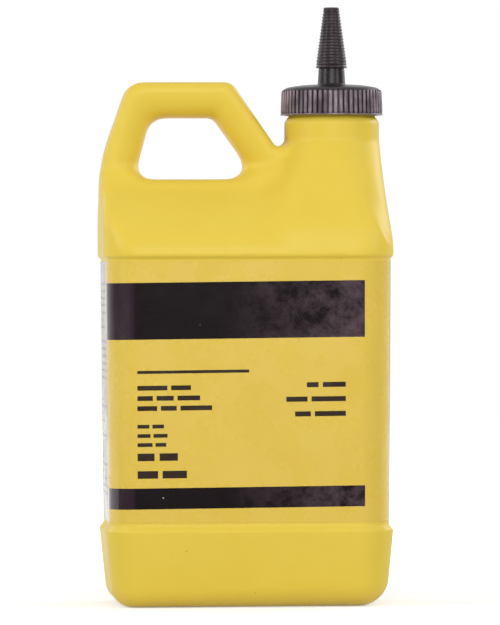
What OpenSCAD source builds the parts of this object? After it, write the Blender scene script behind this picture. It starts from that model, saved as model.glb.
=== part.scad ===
// Refill bottle of marking chalk: a blow-moulded jug with a through handle, a screw cap with a
// pouring spout and a pull-off cover on the spout's tip. Millimetres, +Z up, origin in the middle
// of the foot, the handle towards -X and the neck towards +X.

/* [Body] */
// Width of the body across the shoulder
body_width = 116.4; // [98:0.2:140]
// Depth of the body from front to back
body_depth = 76; // [62:1:92]
// Height at which the straight walls end and the shoulder begins
body_height = 146; // [120:1:176]
// Radius of the four upright corners
corner_radius = 14.5; // [11:0.5:18]
// Radius between the foot and the walls
foot_radius = 9; // [6:0.5:10]
// How much the foot is narrower than the shoulder on each side
foot_draft = 3.9; // [1:0.1:5]
// How far the underside is pushed up inside its standing ring
foot_recess = 1.2; // [0.6:0.1:2.5]
// Width of the flat standing ring
foot_land = 7; // [5:0.5:10]
// Thickness of the moulded wall
wall = 1.3; // [1:0.1:1.8]

/* [Label] */
// Height of the lower edge of the recessed label panel
panel_bottom = 31.6; // [24:0.2:40]
// Height of the full-width band between the label panel and the shoulder
shoulder_band = 6.2; // [4:0.2:14]
// Depth of the recess around the body
panel_recess = 1.2; // [0.8:0.1:1.6]
// Thickness of the label film
film = 0.15; // [0.1:0.05:0.3]
// Bare strip of the panel above and below the film
film_margin = 1.6; // [1:0.1:4]

/* [Handle] */
// Height of the handle's top above the body's straight walls
handle_rise = 64.2; // [56:0.2:72]
// Thickness of the handle from front to back
handle_depth = 24; // [20:0.5:28]
// Radius of the handle's outer edges
handle_edge = 8; // [5:0.5:9]
// Height at which the handle's outer side starts to lean in, above the straight walls
lean_rise = 33; // [28:0.5:36]
// Lean of the handle's outer side from upright, in degrees
outer_lean = 19.7; // [12:0.1:24]
// Slope of the handle's inner leg from upright, in degrees
leg_slope = 35.3; // [32:0.1:38]
// Thickness of the top bar
bar_top = 14.4; // [11:0.1:15]
// Thickness of the outer bar at the foot of the opening
bar_outer = 14.2; // [13:0.1:16]
// Thickness of the sloping leg
bar_leg = 14.8; // [13:0.1:16]
// Lean of the opening's outer side from upright, in degrees
opening_lean = 13.1; // [8:0.1:16]
// Height of the opening's lower edge above the straight walls
opening_rise = 25.1; // [22:0.1:28]
// Height of the valley between handle and neck above the straight walls
valley_rise = 39; // [37:0.2:40]

/* [Neck] */
// Distance from the neck's axis to the body's right side
neck_inset = 22.7; // [21:0.1:26]
// How far the plain collar under the cap stands out from the thread's crest
collar_step = 0.55; // [0.3:0.05:1.2]
// Height at which the collar begins, above the straight walls
shoulder_rise = 40.6; // [38:0.2:44]
// Height of the collar
collar_height = 9.7; // [8:0.1:12]
// Diameter of the neck at the root of its thread
thread_root = 34.8; // [29:0.1:42]
// How far the neck's thread stands out from its root
thread_depth = 1.2; // [1:0.05:1.4]
// Thickness of the neck's wall behind the thread
neck_wall = 2.4; // [1.6:0.1:3.2]
// Plain neck between the collar and the start of the thread
thread_lead = 2.34; // [2.1:0.02:4]
// Plain neck between the end of the thread and the rim
thread_drop = 2.3; // [1.9:0.1:3]
// Rise of the thread in one turn
pitch = 4.2333; // [4.2333]
// Height that the neck's thread climbs
thread_rise = 4.66; // [4.24:0.02:5.2]

/* [Cap] */
// Thickness of the cap's wall behind its grooves
cap_wall = 0.9; // [0.7:0.05:1.5]
// Gap between the collar and the cap's lower edge
cap_gap = 0.6; // [0.4:0.1:0.8]
// Thickness of the cap's top over the liner
cap_top = 2.7; // [2.2:0.1:3.4]
// Height of the domed top above the ribbed skirt
dome_height = 1.3; // [0.8:0.1:1.8]
// Number of grip ribs around the skirt
rib_count = 60; // [40:2:72]
// Depth of a grip rib
rib_depth = 0.5; // [0.3:0.05:0.6]
// Height of the lower bead
bead_height = 1.4; // [1:0.1:2]
// Thickness of the foam liner
liner_thickness = 1; // [0.8:0.1:1.2]
// Turns of thread inside the cap
cap_turns = 1.1; // [1:0.05:1.2]

/* [Spout] */
// Height of the bare stretch of spout between the dome and the cover
spout_bare = 6.7; // [4.8:0.1:9]
// Height of the cone that the cover slides over
spout_cone = 23.3; // [18:0.1:28]
// Diameter of the spout where the cover's mouth sits
spout_waist = 10.2; // [8.5:0.1:12.4]
// How far the spout's foot is wider than that, on each side
spout_flare = 0.35; // [0.2:0.05:0.8]
// Diameter of the spout's tip
spout_tip = 4.4; // [3.6:0.1:5.4]
// Thickness of the spout's wall below the cone
spout_wall = 1.4; // [1:0.1:2]
// Thickness of the spout's wall at its tip
tip_wall = 0.9; // [0.6:0.1:1.2]

/* [Tip cover] */
// Thickness of the cover's closed end
cover_lid = 1.2; // [0.8:0.1:2]
// Thickness of the cover's wall at its mouth, over the rings
cover_wall = 0.9; // [0.8:0.05:1.4]
// Thickness of the cover's wall at its top, over the rings
cover_top_wall = 0.75; // [0.7:0.05:1.3]
// Spacing of the grip rings
ring_pitch = 1.25; // [1.1:0.05:1.6]
// Depth of the grooves between the rings
ring_depth = 0.3; // [0.15:0.05:0.35]

/* [Fits] */
// Gap between the two threads, on the radius
thread_gap = 0.3; // [0.25:0.05:0.4]
// Gap between the spout and its cover, square to the cone
cover_gap = 0.2; // [0.15:0.05:0.3]
// Gap between the powder and the bottle's wall
fill_gap = 0.3; // [0.2:0.1:0.6]
// Level of the powder above the straight walls
fill_rise = 20; // [-40:1:22]

/* [Hidden] */

$fn = 96;
ARC_STEPS = 6;          // flats in a rounded corner
FOOT_STEPS = 5;         // slices in the rounded foot
SLICE = 0.4;            // thickness of the slices that a form is stretched over
LEAST_CORNER = 1;       // sharpest corner that an inset leaves
THREAD_STEPS = 36;      // sections of thread in a turn
OVER = 1;               // how far a cutter runs past what it cuts
BITE = 0.4;             // how far a thread is rooted in its wall

half_width = body_width / 2;
half_depth = body_depth / 2;
panel_top = body_height - shoulder_band;
neck_x = half_width - neck_inset;

thread_crest = thread_root + 2 * thread_depth;
mouth_diameter = thread_root - 2 * neck_wall;
collar_r = thread_crest / 2 + collar_step;
collar_base = body_height + shoulder_rise;
collar_top = collar_base + collar_height;
collar_chamfer = collar_step + 0.4;
neck_thread_z = collar_top + thread_lead;
rim = neck_thread_z + thread_rise + thread_drop;
thread_w = 2.4;         // width of the neck's thread at its root
thread_tip_w = 1;       // and at its crest

handle_top = body_height + handle_rise;
opening_bottom = body_height + opening_rise;
opening_top = handle_top - bar_top;
valley_z = body_height + valley_rise;
handle_base = (panel_top + body_height) / 2;
base_line = 0.7;        // how much the body is narrower at its lower ledge than at its shoulder
ridge_inset = 2;        // how far the shoulder's ridge starts in from the body's left side
cone_reach = 33.5;      // how far the neck's cone spreads to the left of the neck's axis
valley_gap = 3.7;       // level stretch between the handle's leg and the collar
valley_x = neck_x - collar_r - valley_gap;

cap_bottom = collar_top + cap_gap;
liner_top = rim + liner_thickness;
dome_top = liner_top + cap_top;
skirt_top = dome_top - dome_height;
bead_proud = 0.45;      // how far the bead stands out from the ribs
bead_edge = 0.3;        // broken edges of the bead
skirt_edge = 0.8;       // height of the rounded edge above the ribs
cap_bore = thread_crest / 2 + thread_gap;
groove_r = cap_bore + cap_wall;
skirt_r = groove_r + rib_depth;
cap_r = skirt_r + bead_proud;
cap_thread_r = thread_root / 2 + thread_gap;
cap_thread_w = 2;       // width of the cap's thread at its root
cap_thread_tip_w = 0.9; // and at its crest
cap_thread_turn = 140;  // how far round it starts after the neck's, in degrees
// The cap's thread lies midway between the turns of the neck's.
cap_thread_z = neck_thread_z + pitch * (cap_thread_turn / 360 - 0.5);
liner_r = cap_bore - thread_gap;
liner_hole = mouth_diameter / 2;

spout_fillet = 0.6;     // fillet where the spout stands on the dome
neck_in = 3.2;          // height over which the spout's foot narrows to its waist
spout_foot = spout_waist + 2 * spout_flare;
cover_bottom = dome_top + spout_bare;
tip_z = cover_bottom + spout_cone;
channel_foot = spout_waist - 2 * spout_wall;
channel_tip = spout_tip - 2 * tip_wall;
cover_lip = 0.9;        // plain lip at the cover's mouth
cover_edge = 0.5;       // rounding of the cover's top
cover_height = spout_cone + cover_lid;
cover_mouth = spout_waist + 2 * (cover_gap + cover_wall);
cover_top = spout_tip + 2 * (cover_gap + cover_top_wall);
ring_count = floor((cover_height - cover_lip - cover_edge) / ring_pitch);

// Corner handling for outlines: each corner is [x, y, radius].
function at(c) = [c[0], c[1]];
function unit(v) = v / norm(v);
function turn(a, b) = a[0] * b[1] - a[1] * b[0];
function spun(v, a) = [v[0] * cos(a) - v[1] * sin(a), v[0] * sin(a) + v[1] * cos(a)];

function corner_arc(before, c, after) =
    let (
        back = unit(at(before) - at(c)),
        ahead = unit(at(after) - at(c)),
        half = acos(back * ahead) / 2,
        centre = at(c) + unit(back + ahead) * c[2] / sin(half),
        start = at(c) + back * c[2] / tan(half) - centre,
        sweep = (180 - 2 * half) * (turn(back, ahead) < 0 ? 1 : -1)
    )
    [for (i = [0 : ARC_STEPS]) centre + spun(start, sweep * i / ARC_STEPS)];

function rounded(corners) =
    let (n = len(corners))
    [for (i = [0 : n - 1])
        each corners[i][2] > 0
            ? corner_arc(corners[(i + n - 1) % n], corners[i], corners[(i + 1) % n])
            : [at(corners[i])]];

function box_corners(w, d, r) = [[-w, -d, r], [w, -d, r], [w, d, r], [-w, d, r]];

// Turns an outline drawn in X and Z into a slab along Y, centred on Y = 0.
module slab_along_y(depth) {
    rotate([90, 0, 0])
        linear_extrude(height = depth, center = true)
            children();
}

// Turns an outline drawn in Y and Z into a slab along X, centred on X = 0.
module slab_along_x(length) {
    rotate([90, 0, 90])
        linear_extrude(height = length, center = true)
            children();
}

// A horizontal slice of the body, pulled in by an inset, from one height to another.
module plan_slice(inset, from, to) {
    corner = max(LEAST_CORNER, corner_radius - inset);
    translate([0, 0, from])
        linear_extrude(height = to - from)
            polygon(rounded(box_corners(half_width - inset, half_depth - inset, corner)));
}

// Base below the label panel: a rounded foot that widens up to the lower ledge.
module base_form(inset) {
    top = panel_bottom - inset;
    function draft(z) = foot_draft + (base_line - foot_draft) * z / panel_bottom;
    hull() {
        for (i = [0 : FOOT_STEPS]) {
            z = foot_radius * (1 - cos(90 * i / FOOT_STEPS));
            tuck = foot_radius * (1 - sin(90 * i / FOOT_STEPS));
            plan_slice(inset + draft(z) + tuck, z, z + SLICE);
        }
        plan_slice(inset + draft(top), top - SLICE, top);
    }
}

// Straight-walled body with the label panel stepped in.
module body_form(inset) {
    top = body_height - inset;
    base_form(inset);
    plan_slice(inset + panel_recess, panel_bottom - inset - OVER, top);
    plan_slice(inset, panel_top + inset, top);
}

// Shoulder wedge that carries the handle.
module handle_shoulder(inset) {
    ridge = handle_depth / 2 - inset;
    left = -half_width + ridge_inset + inset;
    hull() {
        plan_slice(inset, body_height - inset - SLICE, body_height - inset);
        translate([0, 0, opening_bottom - inset - SLICE])
            linear_extrude(height = SLICE)
                polygon([
                    [left, -ridge], [neck_x, -ridge], [neck_x, ridge], [left, ridge]
                ]);
    }
}

// Shoulder cone that carries the neck.
module neck_shoulder(inset) {
    hull() {
        intersection() {
            plan_slice(inset, body_height - inset - SLICE, body_height - inset);
            translate([neck_x - cone_reach + inset, -body_depth, 0])
                cube([body_width, 2 * body_depth, body_height]);
        }
        translate([neck_x, 0, collar_base - inset - SLICE])
            cylinder(h = SLICE, r = collar_r - inset, $fn = 36);
    }
}

function lean_x(z) = -half_width + max(0, z - body_height - lean_rise) * tan(outer_lean);
function leg_x(z) = valley_x - (z - valley_z) * tan(leg_slope);
function opening_left(z) =
    -half_width + bar_outer + (z - opening_bottom) * tan(opening_lean);
function opening_right(z) = leg_x(z) - bar_leg / cos(leg_slope);

module handle_outline() {
    polygon(rounded([
        [-half_width, handle_base, 0],
        [neck_x, handle_base, 0],
        [neck_x, valley_z, 0],
        [valley_x, valley_z, 3],
        [leg_x(handle_top), handle_top, 4],
        [lean_x(handle_top), handle_top, 4],
        [-half_width, body_height + lean_rise, 60]
    ]));
}

module opening_outline() {
    polygon(rounded([
        [opening_left(opening_bottom), opening_bottom, 5],
        [opening_right(opening_bottom), opening_bottom, 7],
        [opening_right(opening_top), opening_top, 3.5],
        [opening_left(opening_top), opening_top, 5]
    ]));
}

// Handle plate with rounded outer edges; the opening is cut later, through everything.
module handle_form(inset) {
    reach = handle_depth / 2 - inset;
    edge = handle_edge - inset;
    right = neck_x + 2;
    intersection() {
        slab_along_y(body_depth) offset(delta = -inset) handle_outline();
        slab_along_x(2 * body_width)
            polygon(rounded([
                [-reach, handle_base, 0],
                [reach, handle_base, 0],
                [reach, handle_top - inset, edge],
                [-reach, handle_top - inset, edge]
            ]));
        translate([0, 0, handle_base])
            linear_extrude(height = handle_top - handle_base)
                polygon(rounded([
                    [-half_width + inset, -reach, edge],
                    [right, -reach, 0],
                    [right, reach, 0],
                    [-half_width + inset, reach, edge]
                ]));
    }
}

// Everything that is blown from one tube, without the neck: the outside at inset 0, the inside
// at an inset of one wall.
module blown_form(inset) {
    difference() {
        union() {
            body_form(inset);
            handle_shoulder(inset);
            neck_shoulder(inset);
            handle_form(inset);
        }
        slab_along_y(2 * body_depth) offset(delta = inset) opening_outline();
    }
}

// Hollow of the bottle, pulled in by an inset and cut off at a floor and at a level.
module hollow(inset, level) {
    intersection() {
        blown_form(inset);
        translate([-body_width, -body_depth, foot_recess + inset])
            cube([2 * body_width, 2 * body_depth, level - foot_recess - inset]);
    }
}

// One helical thread: the section is wide at its root and narrow at its crest, and fades at both
// ends. Its root is sunk into the wall it stands on.
module thread(root_r, crest_r, root_w, crest_w, turns, start_z, start_angle) {
    steps = round(turns * THREAD_STEPS);
    into = crest_r > root_r ? -BITE : BITE;
    function fade(i) = min(1, 0.3 + min(i, steps - i) / 5);
    function section(i) =
        let (
            a = start_angle + i * 360 / THREAD_STEPS,
            z = start_z + pitch * i / THREAD_STEPS,
            tip = root_r + (crest_r - root_r) * fade(i),
            ring = [[root_r + into, -root_w / 2], [tip, -crest_w / 2],
                    [tip, crest_w / 2], [root_r + into, root_w / 2]]
        )
        [for (p = ring) [p[0] * cos(a), p[0] * sin(a), z + p[1]]];
    flip = crest_r > root_r;
    function facing(f) = flip ? [f[0], f[2], f[1]] : f;
    sides = [for (i = [0 : steps - 1], k = [0 : 3])
        let (p = 4 * i + k, q = 4 * i + (k + 1) % 4)
        each [facing([p, p + 4, q]), facing([q, p + 4, q + 4])]];
    last = 4 * steps;
    ends = [facing([0, 1, 2]), facing([0, 2, 3]),
            facing([last, last + 2, last + 1]), facing([last, last + 3, last + 2])];
    polyhedron(points = [for (i = [0 : steps]) each section(i)], faces = concat(sides, ends));
}

module bottle() {
    color("gold")
    difference() {
        union() {
            blown_form(0);
            translate([neck_x, 0, body_height])
                cylinder(h = collar_top - body_height - collar_chamfer, r = collar_r);
            translate([neck_x, 0, collar_top - collar_chamfer])
                cylinder(h = collar_chamfer, r1 = collar_r, r2 = collar_r - collar_chamfer);
            translate([neck_x, 0, body_height]) cylinder(h = rim - body_height, r = thread_root / 2);
            translate([neck_x, 0, 0])
                thread(thread_root / 2, thread_crest / 2, thread_w, thread_tip_w,
                       thread_rise / pitch, neck_thread_z, 0);
        }
        hollow(wall, handle_top);
        translate([neck_x, 0, body_height]) cylinder(h = rim - body_height + OVER, d = mouth_diameter);
        translate([0, 0, -OVER])
            linear_extrude(height = foot_recess + OVER)
                polygon(rounded(box_corners(
                    half_width - foot_draft - foot_radius - foot_land,
                    half_depth - foot_draft - foot_radius - foot_land,
                    4)));
    }
}

module label_wrap() {
    color("khaki")
    difference() {
        plan_slice(panel_recess - film, panel_bottom + film_margin, panel_top - film_margin);
        plan_slice(panel_recess, panel_bottom + film_margin - OVER, panel_top - film_margin + OVER);
    }
}

module chalk_fill() {
    color("black")
    hollow(wall + fill_gap, body_height + fill_rise);
}

module cap_liner() {
    color("whitesmoke")
    translate([neck_x, 0, rim])
    difference() {
        cylinder(h = liner_thickness, r = liner_r);
        translate([0, 0, -OVER]) cylinder(h = liner_thickness + 2 * OVER, r = liner_hole);
    }
}

// The skirt seen from above: ribs with flat crests and narrower grooves.
module ribbed_disc() {
    place = [0, 0.45, 0.6, 0.85];
    radius = [skirt_r, skirt_r, groove_r, groove_r];
    polygon([for (i = [0 : rib_count - 1], k = [0 : 3])
        let (a = (i + place[k]) * 360 / rib_count)
        [radius[k] * cos(a), radius[k] * sin(a)]]);
}

// Half of the cap and spout's outline, turned around the neck's axis.
module cap_outline() {
    polygon([
        [0, cap_bottom],
        [cap_r - bead_edge, cap_bottom],
        [cap_r, cap_bottom + bead_edge],
        [cap_r, cap_bottom + bead_height - bead_edge],
        [groove_r, cap_bottom + bead_height],
        [groove_r, skirt_top - skirt_edge],
        [groove_r - skirt_edge, skirt_top],
        [cap_r * 0.6, dome_top - dome_height / 8],
        [spout_foot / 2 + spout_fillet, dome_top],
        [spout_foot / 2, dome_top + spout_fillet],
        [spout_waist / 2, dome_top + neck_in],
        [spout_waist / 2, cover_bottom],
        [spout_tip / 2, tip_z],
        [0, tip_z]
    ]);
}

// Room for the neck and liner, and the tapering channel up the spout.
module cap_hollow() {
    translate([0, 0, cap_bottom - OVER])
        cylinder(h = liner_top - cap_bottom + OVER, r = cap_bore);
    translate([0, 0, liner_top - OVER])
        cylinder(h = cover_bottom - liner_top + OVER, d = channel_foot);
    translate([0, 0, cover_bottom])
        cylinder(h = tip_z - cover_bottom, d1 = channel_foot, d2 = channel_tip);
    translate([0, 0, tip_z - OVER])
        cylinder(h = 2 * OVER, d = channel_tip);
}

module spout_cap() {
    ribs_from = cap_bottom + bead_height / 2;
    color("dimgray")
    translate([neck_x, 0, 0]) {
        difference() {
            union() {
                rotate_extrude() cap_outline();
                translate([0, 0, ribs_from])
                    linear_extrude(height = skirt_top - skirt_edge - ribs_from)
                        ribbed_disc();
            }
            cap_hollow();
        }
        thread(cap_bore, cap_thread_r, cap_thread_w, cap_thread_tip_w,
               cap_turns, cap_thread_z, cap_thread_turn);
    }
}

// Outer radius of the tip cover over its rings at a height above its mouth.
function cover_r(h) = (cover_mouth + (cover_top - cover_mouth) * h / cover_height) / 2;

// Half of the cover's outline: a plain lip, then rings with grooves between them.
module cover_outline() {
    groove = [0, ring_depth, ring_depth, 0];
    place = [0.3, 0.45, 0.85, 1];
    top_r = cover_r(cover_height);
    polygon(concat(
        [[0, 0], [cover_r(0), 0]],
        [for (i = [0 : ring_count - 1], k = [0 : 3])
            let (h = cover_lip + (i + place[k]) * ring_pitch)
            [cover_r(h) - groove[k], h]],
        [[top_r, cover_height - cover_edge], [top_r - cover_edge, cover_height], [0, cover_height]]
    ));
}

module tip_cover() {
    color("dimgray")
    translate([neck_x, 0, cover_bottom])
    difference() {
        rotate_extrude() cover_outline();
        cylinder(h = tip_z - cover_bottom,
                 r1 = spout_waist / 2 + cover_gap, r2 = spout_tip / 2 + cover_gap);
        translate([0, 0, -OVER])
            cylinder(h = OVER + cover_gap / 10, r = spout_waist / 2 + cover_gap);
    }
}

bottle();
label_wrap();
chalk_fill();
cap_liner();
spout_cap();
tip_cover();
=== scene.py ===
import math

import bmesh
import bpy
import numpy as np
from mathutils import Matrix, Vector


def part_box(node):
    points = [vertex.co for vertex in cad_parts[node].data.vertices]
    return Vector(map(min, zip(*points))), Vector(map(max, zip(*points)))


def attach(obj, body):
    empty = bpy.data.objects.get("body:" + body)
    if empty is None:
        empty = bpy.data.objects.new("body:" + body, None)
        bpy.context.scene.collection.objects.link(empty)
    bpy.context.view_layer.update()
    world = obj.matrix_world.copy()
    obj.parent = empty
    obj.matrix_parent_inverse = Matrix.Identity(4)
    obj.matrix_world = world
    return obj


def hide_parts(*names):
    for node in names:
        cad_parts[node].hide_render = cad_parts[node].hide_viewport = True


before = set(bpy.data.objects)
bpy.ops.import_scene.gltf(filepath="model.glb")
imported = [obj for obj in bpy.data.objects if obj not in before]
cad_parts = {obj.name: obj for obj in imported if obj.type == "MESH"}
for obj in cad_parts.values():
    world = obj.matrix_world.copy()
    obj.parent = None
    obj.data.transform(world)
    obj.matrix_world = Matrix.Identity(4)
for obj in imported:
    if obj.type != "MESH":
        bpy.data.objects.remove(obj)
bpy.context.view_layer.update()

mm = 0.001


def boxMm(node):
    low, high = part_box(node)
    return np.array(low) / mm, np.array(high) / mm


# Sizes read from the frame. Down to the stage, lengths are in millimetres.
halfWidth, halfDepth, handleTop = boxMm("bottle")[1]
labelLow, labelHigh = boxMm("label_wrap")
chalkLow, chalkHigh = boxMm("chalk_fill")
linerLow, linerHigh = boxMm("cap_liner")
capLow, capHigh = boxMm("spout_cap")
coverLow, coverHigh = boxMm("tip_cover")

lipGap = 0.6              # between the jug's collar and the cap's lip
roofHeight = 2.7          # from the liner's top to the top of the cap's dome
mouthRadius = 15.0
neckX = (capLow[0] + capHigh[0]) / 2
rimZ = linerLow[2]
collarTop = capLow[2] - lipGap
domeTop = linerHigh[2] + roofHeight
print("frame read: jug", round(2 * halfWidth, 1), "x", round(2 * halfDepth, 1), "mm, neck at",
      round(neckX, 2))


def linearColour(hexCode):
    parts = [int(hexCode[i:i + 2], 16) / 255 for i in (1, 3, 5)]
    return [c / 12.92 if c <= 0.04045 else ((c + 0.055) / 1.055) ** 2.4 for c in parts] + [1.0]


# Adds a node. Each setting is a property or an input's value, and a node or a socket given for an input is
# linked to it.
def addNode(tree, kind, settings=None):
    node = tree.nodes.new(kind)
    for name, value in (settings or {}).items():
        if isinstance(value, bpy.types.Node):
            value = value.outputs[0]
        if isinstance(value, bpy.types.NodeSocket):
            tree.links.new(value, node.inputs[name])
        elif isinstance(name, str) and hasattr(node, name):
            setattr(node, name, value)
        else:
            node.inputs[name].default_value = value
    return node


def newMaterial(name):
    material = bpy.data.materials.new(name)
    material.use_nodes = True
    tree = material.node_tree
    tree.nodes.clear()
    place = addNode(tree, "ShaderNodeTexCoord").outputs["Object"]
    return material, tree, place


def addSurface(tree, settings):
    shader = addNode(tree, "ShaderNodeBsdfPrincipled", settings)
    addNode(tree, "ShaderNodeOutputMaterial", {"Surface": shader})


def addMesh(bm, mesh):
    bm.from_mesh(mesh)
    bpy.data.meshes.remove(mesh)


# Makes a smooth piece in metres from a mesh that was built in millimetres.
def meshPiece(name, bm, materials, sharpAngle=38):
    bmesh.ops.recalc_face_normals(bm, faces=bm.faces)
    bmesh.ops.scale(bm, vec=(mm, mm, mm), verts=bm.verts)
    openEdges = sum(len(edge.link_faces) != 2 for edge in bm.edges)
    mesh = bpy.data.meshes.new(name)
    bm.to_mesh(mesh)
    bm.free()
    for polygon in mesh.polygons:
        polygon.use_smooth = True
    mesh.set_sharp_from_angle(angle=math.radians(sharpAngle))
    for material in materials:
        mesh.materials.append(material)
    piece = bpy.data.objects.new(name, mesh)
    bpy.context.scene.collection.objects.link(piece)
    print(name, len(mesh.polygons), "faces,", openEdges, "open edges")
    return piece


# Joins two rings of equally many points with a band of faces, and returns the faces.
def addBand(bm, ring, following):
    faces = []
    for i in range(len(ring)):
        j = (i + 1) % len(ring)
        faces.append(bm.faces.new((ring[i], ring[j], following[j], following[i])))
    return faces


def addBands(bm, rings):
    for ring, following in zip(rings, rings[1:]):
        addBand(bm, ring, following)


# Turns a profile of (radius, height) points round the neck's axis and returns its first and last rings.
def addTurned(bm, profile, segments, closed=False):
    angles = [2 * math.pi * i / segments for i in range(segments)]
    rings = [[bm.verts.new((neckX + r * math.cos(a), r * math.sin(a), z)) for a in angles]
             for r, z in profile]
    addBands(bm, rings + rings[:1] if closed else rings)
    return rings[0], rings[-1]


def arcPoints(centreR, centreZ, radius, fromDegrees, toDegrees, steps):
    angles = np.radians(np.linspace(fromDegrees, toDegrees, steps + 1))
    return [(centreR + radius * math.cos(a), centreZ + radius * math.sin(a)) for a in angles]


# Fills the narrow band between two closed loops that run round the same upright axis.
def stitchLoops(bm, first, second, centreX):
    def turn(vert):
        return math.atan2(vert.co.y, vert.co.x - centreX)
    a = sorted(first, key=turn)
    b = sorted(second, key=turn)
    turnA = [turn(v) for v in a] + [turn(a[0]) + 2 * math.pi]
    turnB = [turn(v) for v in b] + [turn(b[0]) + 2 * math.pi]
    i = j = 0
    while i < len(a) or j < len(b):
        corners = [a[i % len(a)], b[j % len(b)]]
        if j >= len(b) or (i < len(a) and turnA[i + 1] <= turnB[j + 1]):
            i += 1
            corners.insert(1, a[i % len(a)])
        else:
            j += 1
            corners.append(b[j % len(b)])
        bm.faces.new(corners)


jug = {
    "wall": 1.3,
    "cornerRadius": 14.5,
    "footRadius": 8.8,
    "footSkew": 1.5,                # the foot is rounder on the right than on the left
    "footInset": (3.65, 0.4),       # the base is this much narrower than the shoulder at its foot and its top
    "footCurve": 0.00045,
    "landWidth": 7.0,               # flat standing ring
    "pushUp": 1.2,                  # the underside is raised this much inside its ring
    "ledgeLow": (30.4, 32.7),
    "ledgeHigh": (139.05, 140.05),
    "panelInset": (2.15, 1.28),
    "panelBulge": 0.28,
    "ripples": ((0.07, 17, 0.045), (0.05, -5, 0.12)),       # how tall, and how tight round the jug and up it
    "seam": 141.6,                  # where the walls hand over to the shoulder's surface
    "cornerSteps": 14,
    "flatSteps": (44, 20),
}


# How much narrower than the shoulder the base is on each side, at a height above the foot.
def footDraft(z):
    foot, top = jug["footInset"]
    slope = (foot - top) / jug["ledgeLow"][0] + jug["footCurve"] * jug["ledgeLow"][0]
    return foot - slope * z + jug["footCurve"] * z * z


# How much further in the foot's rounding takes the wall; side is -1 at the left end and 1 at the right.
def footRounding(z, side):
    radius = jug["footRadius"] + jug["footSkew"] * side
    under = np.clip(1 - z / radius, 0, 1)
    return radius * (1 - np.sqrt(1 - under * under))


# How far in the wall is at the very bottom, where its rounding ends.
def ringInset():
    return footDraft(0) + jug["footRadius"] + jug["footSkew"]


# Place on a rounded rectangle. From 0 to 8, p runs round four flats and four corners, starting at the front
# flat's left end.
def ringPlace(p, inset):
    p = np.mod(p, 8)
    radius = np.maximum(jug["cornerRadius"] - inset, 1.0)
    flatX = halfWidth - inset - radius
    flatY = halfDepth - inset - radius
    centreX = flatX * np.interp(p, [0, 1, 4, 5, 8], [-1, 1, 1, -1, -1])
    centreY = flatY * np.interp(p, [0, 2, 3, 6, 7, 8], [-1, -1, 1, 1, -1, -1])
    turn = np.radians(np.interp(p, range(9), [-90, -90, 0, 0, 90, 90, 180, 180, 270]))
    return centreX + radius * np.cos(turn), centreY + radius * np.sin(turn)


# How far the panel stands out from its straight line: blown walls are never quite flat.
def panelSwell(p, z):
    p = np.mod(p, 8)
    onFlat = np.where(np.floor(p) % 2 == 0, np.sin(np.pi * (p % 1)) ** 2, 0)
    upPanel = np.clip((z - jug["ledgeLow"][1]) / (jug["ledgeHigh"][0] - jug["ledgeLow"][1]), 0, 1)
    ripple = sum(tall * np.sin(across * p + up * z) for tall, across, up in jug["ripples"])
    return onFlat * np.sin(np.pi * upPanel) ** 0.7 * (jug["panelBulge"] + ripple)


def panelInset(z):
    return np.interp(z, [jug["ledgeLow"][1], jug["ledgeHigh"][0]], jug["panelInset"])


def ringSteps():
    longFlat, shortFlat = jug["flatSteps"]
    counts = [longFlat, jug["cornerSteps"], shortFlat, jug["cornerSteps"]] * 2
    return np.concatenate([k + np.arange(count) / count for k, count in enumerate(counts)])


# (height, inset) of every ring of the wall, from the foot up to the seam, without the foot's rounding. Two
# rings close together keep an edge crisp.
def wallRows():
    widest = jug["footRadius"] + jug["footSkew"]
    rows = [(z, footDraft(z)) for z in widest * (1 - np.cos(np.radians(np.linspace(0, 90, 14))))]
    low, high = jug["ledgeLow"]
    rows += [(z, footDraft(z)) for z in np.linspace(widest + 3, low - 0.8, 6)]
    rows += [(low - 0.12, footDraft(low)), (low + 0.12, footDraft(low) + 0.07)]
    rows += [(high - 0.3, jug["panelInset"][0] - 0.08), (high + 0.3, jug["panelInset"][0])]
    panelFoot = high + 2.5
    low, high = jug["ledgeHigh"]
    rows += [(z, panelInset(z)) for z in np.linspace(panelFoot, low - 1.2, 30)]
    rows += [(low - 0.15, jug["panelInset"][1]), (low + 0.15, jug["panelInset"][1] - 0.14)]
    return rows + [(high - 0.2, 0.38), (high, 0.2), (high + 0.3, 0.06), (jug["seam"] - 0.3, 0.0)]


# The wall's rings from a height up, moved inwards by a thickness. Returns the lowest and the highest.
def addWall(bm, thickness, fromZ):
    steps = ringSteps()
    side = ringPlace(steps, 0)[0] / halfWidth
    rings = []
    for z, inset in wallRows():
        if z >= fromZ:
            x, y = ringPlace(steps, inset + footRounding(z, side) + thickness - panelSwell(steps, z))
            rings.append([bm.verts.new((x[i], y[i], z)) for i in range(len(steps))])
    addBands(bm, rings)
    return rings[0], rings[-1]


# Carries on inwards from a ring under the jug, through (inset, height) steps, and closes the middle.
def addUnderside(bm, ring, stepsIn):
    for inset, z in stepsIn:
        x, y = ringPlace(ringSteps(), inset)
        following = [bm.verts.new((x[i], y[i], z)) for i in range(len(x))]
        addBand(bm, following, ring)
        ring = following
    bm.faces.new(reversed(ring))


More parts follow.
